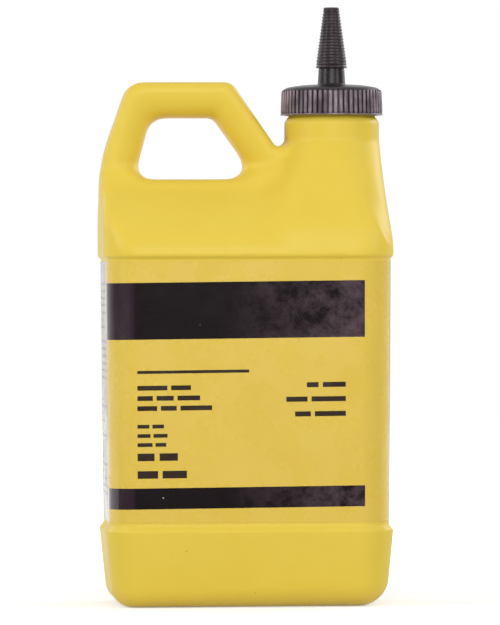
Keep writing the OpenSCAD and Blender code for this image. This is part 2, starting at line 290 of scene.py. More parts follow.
shoulder = {
    "startZ": 146.0,                # straight walls end here
    "holeLow": 171.1,
    "holeHigh": 195.8,
    "holeLeft": (-44.6, -37.9),     # x at the hole's lower and upper corners
    "holeRight": (4.7, -12.8),
    "holeCorners": ((6.5, 103), (7.6, 125), (8.3, 77), (5, 55)),    # radius and degrees: two low, two high
    "holeEdge": (2.6, 11.8),        # softness of the hole's edge, at its foot and round the handle
    "crown": 1.2,                   # how far the shoulder's slope bulges
    "slopeRound": (14, 46),         # between walls and slope, as radius and degrees turned
    "handleHalf": 12.0,             # half the handle's thickness
    "handleEdge": 4.4,              # radius along the handle's outer edges
    "handleCorners": ((9, 70), (6.5, 55)),      # at its left and right, as radius and degrees turned
    "leanZ": 178.1,                 # the handle's outer side leans in from here
    "leanRadius": 60,
    "lean": 19.5,                   # degrees
    "legFoot": (11.65, 185.0),
    "legSlope": 34.3,               # degrees from upright
    "valleyZ": 184.4,
    "coneLeft": 2.0,                # x at which the neck's cone starts on the left
    "coneTop": 186.6,
    "collarRadius": 19.15,
    "collarCut": collarTop - 4,     # the turned neck finish takes over here
    "saddle": 7.0,                  # softness between wedge and cone
    "webbing": (7.0, 2.8),          # softness between handle and shoulder, at the hole's foot and above
    "grid": 0.95,
}


def smoothMax(a, b, width):
    gap = np.clip(width - np.abs(a - b), 0, None)
    return np.maximum(a, b) + gap * gap / (4 * width)


def smoothMin(a, b, width):
    return -smoothMax(-a, -b, width)


# Width for smoothMax that rounds the edge between two planes, whose normals differ by an angle, to a radius.
def roundTo(radius, degrees):
    return radius * (1 - math.cos(math.radians(degrees)))


def smoothStep(t):
    t = np.clip(t, 0, 1)
    return t * t * (3 - 2 * t)


def blend(first, second, share):
    return first * (1 - share) + second * share


def beyondLine(u, v, start, end):
    du, dv = end[0] - start[0], end[1] - start[1]
    return ((u - start[0]) * dv - (v - start[1]) * du) / math.hypot(du, dv)


def roundedBox(x, y, halfX, halfY, radius):
    qx = np.abs(x) - halfX + radius
    qy = np.abs(y) - halfY + radius
    return np.hypot(np.maximum(qx, 0), np.maximum(qy, 0)) + np.minimum(np.maximum(qx, qy), 0) - radius


# Each field below is negative inside its shape, and roughly the distance from its surface.
def holeField(x, z):
    s = shoulder
    low, high = s["holeLow"], s["holeHigh"]
    lowLeft, lowRight, highLeft, highRight = [roundTo(*corner) for corner in s["holeCorners"]]
    left = beyondLine(-x, z, (-s["holeLeft"][0], low), (-s["holeLeft"][1], high))
    right = beyondLine(x, z, (s["holeRight"][0], low), (s["holeRight"][1], high))
    lower = smoothMax(smoothMax(left, low - z, lowLeft), right, lowRight)
    upper = smoothMax(smoothMax(left, z - high, highLeft), right, highRight)
    return np.maximum(lower, upper)


# The shoulder under the handle: a roof-like wedge that falls to the right.
def wedgeField(x, y, z, grow):
    s = shoulder
    plan = roundedBox(x, y, halfWidth, halfDepth, jug["cornerRadius"])
    upSlope = np.clip((z - s["startZ"]) / (s["holeLow"] - s["startZ"]), 0, 1)
    slope = beyondLine(np.abs(y), z, (halfDepth, s["startZ"]), (s["handleHalf"], s["holeLow"]))
    slope = slope - s["crown"] * np.sin(np.pi * upSlope)
    right = beyondLine(x, z, (halfWidth - 3, s["startZ"]), (neckX - 1, s["holeLow"]))
    wedge = smoothMax(smoothMax(plan, slope, roundTo(*s["slopeRound"])), right, 3 * grow)
    return smoothMax(wedge, z - s["holeLow"] - 0.4, 3)


# From the walls' rounded rectangle up to the neck's circle.
def coneField(x, y, z):
    s = shoulder
    t = (z - s["startZ"]) / (s["coneTop"] - s["startZ"])
    t = smoothMin(smoothMax(t, 0, 0.12), 1, 0.03)
    leftSide = blend(s["coneLeft"], neckX - s["collarRadius"], t)
    rightSide = blend(halfWidth, neckX + s["collarRadius"], t * (1.55 - 0.55 * t))
    halfX = (rightSide - leftSide) / 2
    halfY = blend(halfDepth, s["collarRadius"], t)
    radius = blend(jug["cornerRadius"], s["collarRadius"], t)
    cone = roundedBox(x - (rightSide + leftSide) / 2, y, halfX, halfY, radius) * 0.93
    return np.maximum(cone, z - s["collarCut"] - 2.2)


# The handle without its hole, and its leaning left side alone.
def handleFields(x, y, z):
    s = shoulder
    leanTop = halfWidth - (handleTop - s["leanZ"]) * math.tan(math.radians(s["lean"]))
    leaning = beyondLine(-x, z, (halfWidth, s["leanZ"]), (leanTop, handleTop))
    outer = smoothMax(-x - halfWidth, leaning, roundTo(s["leanRadius"], s["lean"]))
    footX, footZ = s["legFoot"]
    legTop = footX - (handleTop - footZ) * math.tan(math.radians(s["legSlope"]))
    leg = beyondLine(x, z, (footX, footZ), (legTop, handleTop))
    inner = smoothMin(leg, z - s["valleyZ"], 1.2)
    left, right = [roundTo(*corner) for corner in s["handleCorners"]]
    plate = smoothMax(smoothMax(outer, z - handleTop, left), inner, right)
    plate = np.maximum(plate, x - neckX)
    return smoothMax(plate, np.abs(y) - s["handleHalf"], s["handleEdge"]), outer


def jugField(x, y, z):
    s = shoulder
    grow = smoothStep((z - s["startZ"] + 2) / 14) + 0.001
    form = smoothMin(wedgeField(x, y, z, grow), coneField(x, y, z), s["saddle"] * grow)
    handle, outer = handleFields(x, y, z)
    webbing = blend(*s["webbing"], smoothStep((z - s["holeLow"] - 3) / 7))
    form = np.maximum(smoothMin(form, handle, webbing * grow), outer)
    holeEdge = blend(*s["holeEdge"], smoothStep((z - s["holeLow"] + 1) / 9))
    form = smoothMax(form, -holeField(x, z), holeEdge)
    return np.maximum(form, np.maximum(np.abs(x) - halfWidth, np.abs(y) - halfDepth))


# The inside: one wall further in, with the neck's bore no wider than the mouth.
def hollowField(x, y, z):
    s = shoulder
    bore = np.hypot(x - neckX, y) - mouthRadius - 3 * np.clip(s["coneTop"] - z, 0, None)
    bore = np.where(x > s["legFoot"][0] + 1, bore, -9)
    return np.maximum(jugField(x, y, z) + jug["wall"], bore)


# Wraps the surface where a field is zero in quads, one vertex to each grid cell that the surface crosses.
def wrapField(field, spacing, low, high):
    axes = [np.arange(low[i], high[i] + spacing, spacing) for i in range(3)]
    grid = np.meshgrid(*axes, indexing="ij")
    values = field(*grid)
    cells = np.array(values.shape) - 1
    total = np.zeros((*cells, 3))
    count = np.zeros(cells)
    crossings = []
    for a in range(3):
        b, c = (a + 1) % 3, (a + 2) % 3
        near = np.take(values, range(cells[a]), axis=a)
        far = np.take(values, range(1, cells[a] + 1), axis=a)
        at = np.argwhere((near < 0) != (far < 0))
        v0 = near[tuple(at.T)]
        v1 = far[tuple(at.T)]
        place = np.stack([axes[k][at[:, k]] for k in range(3)], axis=1)
        place[:, a] += spacing * v0 / (v0 - v1)
        corners = []
        for db, dc in ((1, 1), (0, 1), (0, 0), (1, 0)):
            cell = at.copy()
            cell[:, b] -= db
            cell[:, c] -= dc
            ok = np.all((cell >= 0) & (cell < cells), axis=1)
            np.add.at(total, tuple(cell[ok].T), place[ok])
            np.add.at(count, tuple(cell[ok].T), 1)
            corners.append((cell, ok))
        crossings.append((corners, v0 < 0))
    used = np.argwhere(count > 0)
    number = np.full(cells, -1)
    number[tuple(used.T)] = np.arange(len(used))
    points = total[tuple(used.T)] / count[tuple(used.T)][:, None]
    quads = []
    for corners, outwards in crossings:
        whole = np.all([ok for cell, ok in corners], axis=0)
        quad = np.stack([number[tuple(cell[whole].T)] for cell, ok in corners], axis=1)
        quad[~outwards[whole]] = quad[~outwards[whole]][:, ::-1]
        quads.append(quad)
    return points, np.concatenate(quads)


# Evens out the net and pulls it back onto the exact surface.
def settleNet(field, points, quads, rounds):
    small = 0.02
    longestMove = 0.5
    edges = np.concatenate([quads[:, [0, 1]], quads[:, [1, 2]], quads[:, [2, 3]], quads[:, [3, 0]]])
    edges = np.unique(np.sort(edges, axis=1), axis=0)
    sides = np.bincount(edges.ravel(), minlength=len(points))[:, None]
    for evening in range(rounds):
        around = np.zeros_like(points)
        np.add.at(around, edges[:, 0], points[edges[:, 1]])
        np.add.at(around, edges[:, 1], points[edges[:, 0]])
        points = points * 0.5 + around / sides * 0.5
        for pull in range(2):
            value = field(*points.T)
            slope = np.stack([field(*(points + step).T) - field(*(points - step).T)
                              for step in small * np.eye(3)], axis=1) / (2 * small)
            steepness = np.maximum((slope ** 2).sum(axis=1), 0.05)
            points = points - np.clip(slope * (value / steepness)[:, None], -longestMove, longestMove)
    return points


# Adds a field's surface from the seam up, without what the turned neck replaces: all over neckCut within
# neckReach of the neck's axis. Returns the border's points at the seam and at the neck.
def addNet(bm, field, spacing, rounds, neckCut=handleTop, neckReach=0):
    low = (-halfWidth - 2, -halfDepth - 2, jug["seam"] - 1.6 * spacing)
    high = (halfWidth + 2, halfDepth + 2, handleTop + 2)
    points, quads = wrapField(field, spacing, low, high)
    points = settleNet(field, points, quads, rounds)
    net = bmesh.new()
    verts = [net.verts.new(p) for p in points]
    for quad in quads:
        net.faces.new([verts[i] for i in quad])
    bmesh.ops.bisect_plane(net, geom=net.verts[:] + net.edges[:] + net.faces[:], dist=1e-5,
                           plane_co=(0, 0, jug["seam"]), plane_no=(0, 0, 1), clear_inner=True)
    top = [f for f in net.faces if all(
        v.co.z > neckCut - 3 and math.hypot(v.co.x - neckX, v.co.y) < neckReach for v in f.verts)]
    if top:
        parts = dict.fromkeys(part for f in top for part in (*f.verts, *f.edges, f))
        bmesh.ops.bisect_plane(net, geom=list(parts), dist=1e-5, plane_co=(0, 0, neckCut),
                               plane_no=(0, 0, 1), clear_outer=True)
    mesh = bpy.data.meshes.new("net")
    net.to_mesh(mesh)
    net.free()
    before = len(bm.verts)
    addMesh(bm, mesh)
    bm.verts.ensure_lookup_table()
    border = [v for v in bm.verts[before:] if any(e.is_boundary for e in v.link_edges)]
    seam = [v for v in border if abs(v.co.z - jug["seam"]) < 0.01]
    collar = [v for v in border if abs(v.co.z - neckCut) < 0.01]
    print("net", len(points), "points, seam", len(seam), "collar", len(collar), "border", len(border))
    return seam, collar


neck = {
    "threadRoot": 17.4,
    "threadCrest": 18.6,
    "pitch": 4.2333,
    "climb": 4.66,                  # height that the thread climbs
    "drop": 2.3,                    # plain neck above it
    "threadWidth": (2.4, 1.0),
    "threadSteps": 72,              # to a turn
    "fadeSteps": 9,                 # over which each end of the thread fades
    "rimRounds": (0.5, 0.35),       # outside and inside
    "boreCut": 190.0,
    "segments": 128,
}


def neckProfile():
    root, r, top = neck["threadRoot"], shoulder["collarRadius"], collarTop
    outside, inside = neck["rimRounds"]
    profile = [(r, shoulder["collarCut"] + 0.3), (r, top - 2.9), (r - 0.05, top - 2.6), (r - 0.2, top - 2.0)]
    profile += [(r - 0.33, top - 1.7), (r - 1.4, top - 0.25), (r - 1.6, top - 0.08), (root + 0.1, top)]
    profile += [(root, top + 0.2), (root, rimZ - 0.6)]
    profile += arcPoints(root - outside, rimZ - outside, outside, 20, 90, 4)
    profile += arcPoints(mouthRadius + inside, rimZ - inside, inside, 90, 180, 4)
    return profile + [(mouthRadius, rimZ - 4), (mouthRadius, neck["boreCut"] + 0.3)]


# A helical ridge with a closed section that fades at both ends.
def addThread(bm):
    n = neck
    root = n["threadRoot"]
    steps = round(n["climb"] / n["pitch"] * n["threadSteps"])
    wide, narrow = n["threadWidth"]
    rings = []
    for i in range(steps + 1):
        a = 2 * math.pi * i / n["threadSteps"]
        z = rimZ - n["drop"] - n["climb"] + n["pitch"] * i / n["threadSteps"]
        fade = min(1, 0.05 + min(i, steps - i) / n["fadeSteps"])
        crest = root + (n["threadCrest"] - root) * fade
        lower = [(root - 0.4, -wide / 2), (root + 0.1, -wide / 2), (crest - 0.15, -narrow / 2 - 0.1),
                 (crest, -narrow / 4)]
        section = lower + [(r, -dz) for r, dz in reversed(lower)]
        rings.append([bm.verts.new((neckX + r * math.cos(a), r * math.sin(a), z + dz)) for r, dz in section])
    addBands(bm, rings)
    bm.faces.new(rings[0])
    bm.faces.new(rings[-1])


def buildJug(material):
    bm = bmesh.new()
    foot, brim = addWall(bm, 0, 0)
    landInset = ringInset() + jug["landWidth"] - jug["footSkew"]
    addUnderside(bm, foot, [(landInset - 0.4, 0), (landInset, 0.1), (landInset + 1.3, jug["pushUp"] - 0.1),
                            (landInset + 1.8, jug["pushUp"])])
    seam, collar = addNet(bm, jugField, shoulder["grid"], 3, shoulder["collarCut"], 21)
    stitchLoops(bm, brim, seam, 0)
    outside, bore = addTurned(bm, neckProfile(), neck["segments"])
    stitchLoops(bm, collar, outside, neckX)

    insideZ = jug["pushUp"] + jug["wall"]
    foot, brim = addWall(bm, jug["wall"], insideZ)
    addUnderside(bm, foot, [(ringInset() + 1.5, insideZ), (landInset + 2, insideZ)])
    seam, collar = addNet(bm, hollowField, 1.6, 2, neck["boreCut"], 17)
    stitchLoops(bm, brim, seam, 0)
    stitchLoops(bm, collar, bore, neckX)
    addThread(bm)
    return meshPiece("yellowJug", bm, [material])


# Rare round specks: the middles of a pattern's cells, only where a slower noise is high.
def addSpecks(tree, place, cellScale, noiseScale, noiseHigh, largest):
    cells = addNode(tree, "ShaderNodeTexVoronoi", {"Scale": cellScale, "Vector": place})
    rare = addNode(tree, "ShaderNodeTexNoise", {"Scale": noiseScale, "Detail": 0.0, "Vector": place})
    size = addNode(tree, "ShaderNodeMapRange", {
        "Value": rare, "From Min": 0.60, "From Max": noiseHigh, "To Min": 0.0, "To Max": largest})
    return addNode(tree, "ShaderNodeMath", {"operation": "LESS_THAN", 0: cells, 1: size})


# Polyethylene, blow-moulded from yellow-coloured stock: satin, a little uneven, with a very fine
# sand-blasted grain from the mould, stray dark specks and a faint line where the mould's halves met.
def blownPolyethylene():
    material, tree, place = newMaterial("blownPolyethylene")
    cloud = addNode(tree, "ShaderNodeTexNoise", {
        "Scale": 38.0, "Detail": 3.0, "Roughness": 0.6, "Vector": place})
    tint = addNode(tree, "ShaderNodeMix", {
        "data_type": "RGBA", 0: cloud, 6: linearColour("#E6C742"), 7: linearColour("#ECCF4E")})
    specks = addSpecks(tree, place, 190.0, 90.0, 0.74, 0.085)
    faint = addNode(tree, "ShaderNodeMath", {"operation": "MULTIPLY", 0: specks, 1: 0.35})
    colour = addNode(tree, "ShaderNodeMix", {
        "data_type": "RGBA", 0: faint, 6: tint.outputs[2], 7: linearColour("#8A6A22")})
    uneven = addNode(tree, "ShaderNodeTexNoise", {"Scale": 260.0, "Detail": 4.0, "Vector": place})
    rough = addNode(tree, "ShaderNodeMapRange", {"Value": uneven, "To Min": 0.36, "To Max": 0.50})
    split = addNode(tree, "ShaderNodeSeparateXYZ", {0: place})
    fromMiddle = addNode(tree, "ShaderNodeMath", {"operation": "ABSOLUTE", 0: split.outputs[1]})
    ridge = addNode(tree, "ShaderNodeMapRange", {
        "interpolation_type": "SMOOTHSTEP", "Value": fromMiddle, "From Min": 0.0002, "From Max": 0.0007,
        "To Min": 1.0, "To Max": 0.0})
    wave = addNode(tree, "ShaderNodeTexNoise", {"Scale": 55.0, "Detail": 1.0, "Vector": place})
    grain = addNode(tree, "ShaderNodeTexNoise", {"Scale": 1700.0, "Detail": 2.0, "Vector": place})
    bump = addNode(tree, "ShaderNodeBump", {"Height": ridge, "Strength": 0.35, "Distance": 0.0003})
    bump = addNode(tree, "ShaderNodeBump", {
        "Height": wave, "Strength": 0.25, "Distance": 0.0012, "Normal": bump})
    bump = addNode(tree, "ShaderNodeBump", {
        "Height": grain, "Strength": 0.12, "Distance": 0.0002, "Normal": bump})
    addSurface(tree, {"Base Color": colour.outputs[2], "Roughness": rough, "IOR": 1.51,
                      "Specular IOR Level": 0.32, "Normal": bump})
    return material


jugPiece = buildJug(blownPolyethylene())
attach(jugPiece, "bottle")
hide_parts("bottle")
print("jug done")


label = {
    "lift": 0.03,                   # between panel and film
    "film": 0.12,
    "ink": 0.02,
    "bandEnds": (-1.0, 1.087),      # ring places: where the left corner ends, and early in the right corner
    "bands": ((107.4, 130.0), (39.85, 48.2)),
    "tilt": 0.0096,                 # the print climbs this much to the right
    "paleSides": ((5.25, 7.0), (1.82, 3.25)),       # ring places of the two ends
    "frontRows": (                  # blank bars: a row's height, how tall it is, and its bars' ends
        (94.4, 1.2, [(-45.4, -0.8)]),
        (88.1, 1.9, [(-45.4, -33.4), (-31.9, -24.0)]),
        (84.0, 1.9, [(-45.4, -39.2), (-37.7, -30.9), (-29.4, -20.4)]),
        (80.0, 1.9, [(-45.4, -37.5), (-36.0, -29.7), (-28.2, -15.6)]),
        (72.8, 1.5, [(-45.4, -40.6), (-39.4, -34.8)]),
        (69.1, 1.5, [(-45.4, -40.2), (-39.0, -33.4)]),
        (65.5, 1.5, [(-45.4, -39.4), (-38.2, -33.9)]),
        (60.6, 3.0, [(-45.4, -38.6), (-36.6, -29.3)]),
        (53.6, 3.0, [(-45.4, -37.2), (-35.4, -25.7)]),
        (88.6, 2.0, [(22.2, 26.9), (28.6, 37.8)]),
        (82.9, 2.0, [(14.0, 22.5), (24.1, 37.8)]),
        (77.0, 2.0, [(17.5, 23.8), (25.4, 37.8)]),
    ),
    "fineColumns": ((6.06, 6.94), (2.06, 2.94)),    # ring places of the small bars on the pale ends
    "fineRows": 30,
    "fineMargin": 9,                # from the label's top to the first row
    "finePitch": 2.9,
    "fineGap": 8,                   # one row in so many is left out
    "fineHalf": 0.55,               # half a bar's height
    "fineWord": (0.05, 0.17),       # a bar's least and greatest length, in ring places
    "fineSpace": 0.03,
    "fineEnds": 0.12,               # chance that a row stops after a bar
    "fineSeed": 7,
}


# A thin closed sheet that follows the panel through a list of ring places, between two heights.
def addSheet(bm, places, lowZ, highZ, lift, thick, slot, rows, tilt=0, endless=False):
    skins = []
    for out in (lift, lift + thick):
        skin = []
        for level in np.linspace(lowZ, highZ, rows + 1):
            height = level + tilt * ringPlace(places, 0)[0]
            x, y = ringPlace(places, panelInset(height) - panelSwell(places, height) - out)
            skin.append([bm.verts.new(corner) for corner in zip(x, y, height)])
        skins.append(skin)
    under, over = skins
    sections = [[row[i] for row in under] + [row[i] for row in reversed(over)] for i in range(len(places))]
    faces = []
    for section, following in zip(sections, sections[1:]):
        faces += addBand(bm, following, section)
    if endless:
        faces += addBand(bm, sections[0], sections[-1])
    else:
        for end in (sections[0], sections[-1]):
            faces += [bm.faces.new((end[j], end[j + 1], end[-j - 2], end[-j - 1])) for j in range(rows)]
    for face in faces:
        face.material_index = slot


# Ring place at a distance from the middle of the front, on its flat or its corners.
def frontPlace(distance):
    flat = halfWidth - jug["cornerRadius"]
    if abs(distance) <= flat:
        return (distance / flat + 1) / 2
    radius = jug["cornerRadius"] - jug["panelInset"][1]
    past = (abs(distance) - flat) / radius / (math.pi / 2)
    return 1 + past if distance > 0 else -past


def buildLabel(materials):
    bm = bmesh.new()
    filmSlot, darkSlot, paleSlot, greySlot, brownSlot = range(5)
    low, high = labelLow[2] + 0.8, labelHigh[2]
    onFilm = label["lift"] + label["film"]
    addSheet(bm, ringSteps(), low, high, label["lift"], label["film"], filmSlot, 42, endless=True)

    def addInk(slot, ends, columns, lowZ, highZ, rows, tilt=0, lift=onFilm):
        addSheet(bm, np.linspace(*ends, columns + 1), lowZ, highZ, lift, label["ink"], slot, rows, tilt)

    for ends in label["paleSides"]:
        addInk(paleSlot, ends, 46, low, high, 42)
    for turned, tilt in ((0, label["tilt"]), (4, -label["tilt"])):      # the front, then the back
        for lowZ, highZ in label["bands"]:
            addInk(darkSlot, np.add(label["bandEnds"], turned), 84, lowZ, highZ, 6, tilt)
    for height, tall, bars in label["frontRows"]:
        for left, right in bars:
            columns = max(2, round((right - left) / 2.5))
            addInk(brownSlot, (frontPlace(left), frontPlace(right)), columns, height - tall / 2,
                   height + tall / 2, 1, label["tilt"])
    rng = np.random.default_rng(label["fineSeed"])
    for left, right in label["fineColumns"]:
        for row in range(label["fineRows"]):
            if (row + 1) % label["fineGap"] == 0:
                continue
            height = high - label["fineMargin"] - row * label["finePitch"]
            place = left
            while place < right - label["fineWord"][0]:
                end = min(place + rng.uniform(*label["fineWord"]), right)
                addInk(greySlot, (place, end), 2, height - label["fineHalf"], height + label["fineHalf"], 1,
                       lift=onFilm + label["ink"])
                place = end + label["fineSpace"]
                if rng.random() < label["fineEnds"]:
                    break
    return meshPiece("wrapLabel", bm, materials)


# Over dark ink: a mottled grey painted reflection that thickens to the right, a brown painted reflection on
# the left where the ink wraps the corner, and rare pale specks of chalk dust.
def addReflectionAndDust(tree, place, ink):
    split = addNode(tree, "ShaderNodeSeparateXYZ", {0: place})
    # painted reflection: grey that grows towards the right end of the dark bands
    reflectionRamp = addNode(tree, "ShaderNodeMapRange", {
        "interpolation_type": "SMOOTHSTEP", "Value": split, "From Min": -0.02, "From Max": 0.052})
    mottle = addNode(tree, "ShaderNodeTexNoise", {
        "Scale": 150.0, "Detail": 7.0, "Roughness": 0.7, "Vector": place})
    patchy = addNode(tree, "ShaderNodeMapRange", {"Value": mottle, "From Min": 0.38, "From Max": 0.66})
    reflectionAmount = addNode(tree, "ShaderNodeMath", {"operation": "MULTIPLY", 0: reflectionRamp, 1: patchy})
    reflected = addNode(tree, "ShaderNodeMix", {
        "data_type": "RGBA", 0: reflectionAmount, 6: ink.outputs[2], 7: linearColour("#5C4B52")})
    # painted reflection: brown where the ink turns round the left corner
    edge = addNode(tree, "ShaderNodeMapRange", {
        "interpolation_type": "SMOOTHSTEP", "Value": split, "From Min": -0.0475, "From Max": -0.0455,
        "To Min": 1.0, "To Max": 0.0})
    cornerReflected = addNode(tree, "ShaderNodeMix", {
        "data_type": "RGBA", 0: edge, 6: reflected.outputs[2], 7: linearColour("#30202A")})
    specks = addSpecks(tree, place, 230.0, 120.0, 0.72, 0.075)
    return addNode(tree, "ShaderNodeMix", {
        "data_type": "RGBA", 0: specks, 6: cornerReflected.outputs[2], 7: linearColour("#B9B0B4")})


# Clear-coated polypropylene film, printed: the colour is flat ink, save for a painted reflection on the dark
# film, and the gloss comes from the laminate over it, which is rippled where it was stretched round the jug
# and carries fine scratches.
def printedFilm(name, hexLow, hexHigh, roughness, ripples=0.2, reflectionAndDust=False):
    material, tree, place = newMaterial(name)
    cloud = addNode(tree, "ShaderNodeTexNoise", {"Scale": 30.0, "Detail": 3.0, "Vector": place})
    ink = addNode(tree, "ShaderNodeMix", {
        "data_type": "RGBA", 0: cloud, 6: linearColour(hexLow), 7: linearColour(hexHigh)})
    # the dark film's colour gets a painted reflection, plus specks of chalk dust
    if reflectionAndDust:
        ink = addReflectionAndDust(tree, place, ink)
    haze = addNode(tree, "ShaderNodeTexNoise", {
        "Scale": 75.0, "Detail": 6.0, "Roughness": 0.65, "Vector": place})
    rough = addNode(tree, "ShaderNodeMapRange", {
        "Value": haze, "From Min": 0.3, "From Max": 0.7,
        "To Min": roughness * 0.6, "To Max": roughness * 1.7})
    stretch = addNode(tree, "ShaderNodeMapping", {"Scale": (1.0, 1.0, 0.35), "Vector": place})
    ripple = addNode(tree, "ShaderNodeTexNoise", {
        "Scale": 130.0, "Detail": 3.0, "Distortion": 0.6, "Vector": stretch})
    fine = addNode(tree, "ShaderNodeTexNoise", {"Scale": 900.0, "Detail": 2.0, "Vector": place})
    bump = addNode(tree, "ShaderNodeBump", {"Height": ripple, "Strength": ripples, "Distance": 0.0006})
    bump = addNode(tree, "ShaderNodeBump", {
        "Height": fine, "Strength": 0.08, "Distance": 0.0002, "Normal": bump})
    addSurface(tree, {"Base Color": ink.outputs[2], "Roughness": rough, "IOR": 1.5,
                      "Specular IOR Level": 0.5, "Normal": bump})
    return material


labelPiece = buildLabel([
    printedFilm("yellowPrintedFilm", "#E1BF49", "#E8C954", 0.24),
    # the dark bands carry a painted reflection in their colour
    printedFilm("darkPrintedFilm", "#120D0F", "#1F1518", 0.11, 0.10, reflectionAndDust=True),
    printedFilm("palePrintedFilm", "#B5AAA0", "#C2B8AE", 0.24),
    printedFilm("greyPrintedFilm", "#8D868E", "#9A939A", 0.24),
    printedFilm("brownPrintedFilm", "#2A1E16", "#3A2A1C", 0.2)])
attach(labelPiece, "bottle")
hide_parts("label_wrap")
print("label done")


# Grows a mesh from a Geometry Nodes tree. The tree's named inputs are the values given, with lengths in
# metres, and shape adds its nodes and returns the last one before the instances are made real.
def growMesh(name, shape, values):
    tree = bpy.data.node_groups.new(name, "GeometryNodeTree")
    kinds = {int: "NodeSocketInt", bpy.types.Material: "NodeSocketMaterial"}
    identifiers = {}
    for title, value in values.items():
        kind = kinds.get(type(value), "NodeSocketFloat")
        identifiers[title] = tree.interface.new_socket(title, in_out="INPUT", socket_type=kind).identifier
    tree.interface.new_socket("Geometry", in_out="OUTPUT", socket_type="NodeSocketGeometry")
    given = addNode(tree, "NodeGroupInput").outputs
    real = addNode(tree, "GeometryNodeRealizeInstances", {0: shape(tree, given)})
    painted = addNode(tree, "GeometryNodeSetMaterial", {"Geometry": real, "Material": given["Material"]})
    addNode(tree, "NodeGroupOutput", {0: painted})

    seed = bpy.data.objects.new("seed", bpy.data.meshes.new("seed"))
    bpy.context.scene.collection.objects.link(seed)
    modifier = seed.modifiers.new("grow", "NODES")
    modifier.node_group = tree
    for title, value in values.items():
        modifier[identifiers[title]] = value
    bpy.context.view_layer.update()
    evaluated = seed.evaluated_get(bpy.context.evaluated_depsgraph_get())
    mesh = bpy.data.meshes.new_from_object(evaluated)
    seed.modifiers.remove(modifier)
    bpy.data.objects.remove(seed)
    mesh.transform(Matrix.Scale(1 / mm, 4))
    return mesh


cap = {
    "lipHeight": 0.55,
    "skirtRadius": 19.8,            # at the grooves
    "ribCrest": (20.6, 20.25),      # over the ribs, at their feet and heads
    "ribEnds": (0.3, 2.2),          # up from the cap's lip, and down from the dome's top
    "ribWidth": 1.3,
    "ribFillet": 0.32,
    "ribCount": 60,
    "bore": 18.9,
    "foot": 5.55,                   # the spout's radius at the dome, under the cover and at the tip
    "waist": 5.1,
    "tipRadius": 2.2,
    "channel": (3.7, 1.3),
    "segments": 120,
}


def capProfile():
    c = cap
    low, tip, roof, mouth = capLow[2], capHigh[2], linerHigh[2], coverLow[2]
    lip = (capHigh[0] - capLow[0]) / 2
    lipTop = low + c["lipHeight"]
    bore, skirt, foot, waist, tipRadius = c["bore"], c["skirtRadius"], c["foot"], c["waist"], c["tipRadius"]
    wide, narrow = c["channel"]
    profile = [(bore, low + 0.3), (bore + 0.25, low), (lip - 0.2, low), (lip - 0.06, low + 0.06)]
    profile += [(lip, low + 0.2), (lip, lipTop - 0.15), (lip - 0.1, lipTop), (skirt + 0.1, lipTop + 0.05)]
    profile += [(skirt, lipTop + 0.2), (skirt, low + 4.5), (skirt, domeTop - 3.0)]
    profile += [(skirt - 0.08, domeTop - 2.6)]
    profile += [(r, domeTop - drop) for r, drop in (
        (19.4, 2.08), (18.95, 1.68), (18.4, 1.36), (17.8, 1.16), (15.5, 0.70), (12.2, 0.25), (9.0, 0.05))]
    profile += [(foot + 0.95, domeTop)]
    profile += arcPoints(foot + 0.65, domeTop + 0.65, 0.65, 262, 184, 5)
    profile += [(5.25, mouth - 1.0), (waist, mouth - 0.2), (waist - 0.03, mouth)]
    profile += [(tipRadius + 0.04, tip - 0.35), (tipRadius - 0.2, tip), (narrow + 0.12, tip)]
    profile += [(narrow, tip - 0.2), (wide, mouth), (wide, roof + 0.4), (wide + 0.3, roof)]
    return profile + [(bore - 0.3, roof), (bore, roof - 0.3)]


# Upright flat-crested ribs set round the skirt, thinner towards both ends.
def skirtRibs(tree, given):
    foot = addNode(tree, "ShaderNodeCombineXYZ", {0: given["Foot Radius"], 2: given["Lower End"]})
    head = addNode(tree, "ShaderNodeCombineXYZ", {0: given["Head Radius"], 2: given["Upper End"]})
    line = addNode(tree, "GeometryNodeCurvePrimitiveLine", {"Start": foot, "End": head})
    cut = addNode(tree, "GeometryNodeResampleCurve", {"Count": 22, "Curve": line})
    along = addNode(tree, "GeometryNodeSplineParameter").outputs["Factor"]
    fromMiddle = addNode(tree, "ShaderNodeMath", {"operation": "SUBTRACT", 0: along, 1: 0.5})
    away = addNode(tree, "ShaderNodeMath", {"operation": "ABSOLUTE", 0: fromMiddle})
    thin = addNode(tree, "ShaderNodeMapRange", {
        "interpolation_type": "SMOOTHSTEP", "Value": away, "From Min": 0.42, "From Max": 0.51,
        "To Min": 1.0, "To Max": 0.3})
    square = addNode(tree, "GeometryNodeCurvePrimitiveQuadrilateral", {
        "Width": given["Rib Width"], "Height": given["Rib Width"]})
    section = addNode(tree, "GeometryNodeFilletCurve", {
        "mode": "POLY", "Count": 3, "Curve": square, "Radius": given["Rib Fillet"]})
    rod = addNode(tree, "GeometryNodeCurveToMesh", {
        "Curve": cut, "Profile Curve": section, "Scale": thin, "Fill Caps": True})
    points = addNode(tree, "GeometryNodePoints", {"Count": given["Rib Count"]})
    index = addNode(tree, "GeometryNodeInputIndex")
    share = addNode(tree, "ShaderNodeMath", {"operation": "DIVIDE", 0: index, 1: given["Rib Count"]})
    angle = addNode(tree, "ShaderNodeMath", {"operation": "MULTIPLY", 0: share, 1: 2 * math.pi})
    spin = addNode(tree, "ShaderNodeCombineXYZ", {2: angle})
    placed = addNode(tree, "GeometryNodeInstanceOnPoints", {
        "Points": points, "Instance": rod, "Rotation": spin})
    shift = addNode(tree, "ShaderNodeCombineXYZ", {0: given["Axis X"]})
    return addNode(tree, "GeometryNodeTransform", {"Geometry": placed, "Translation": shift})
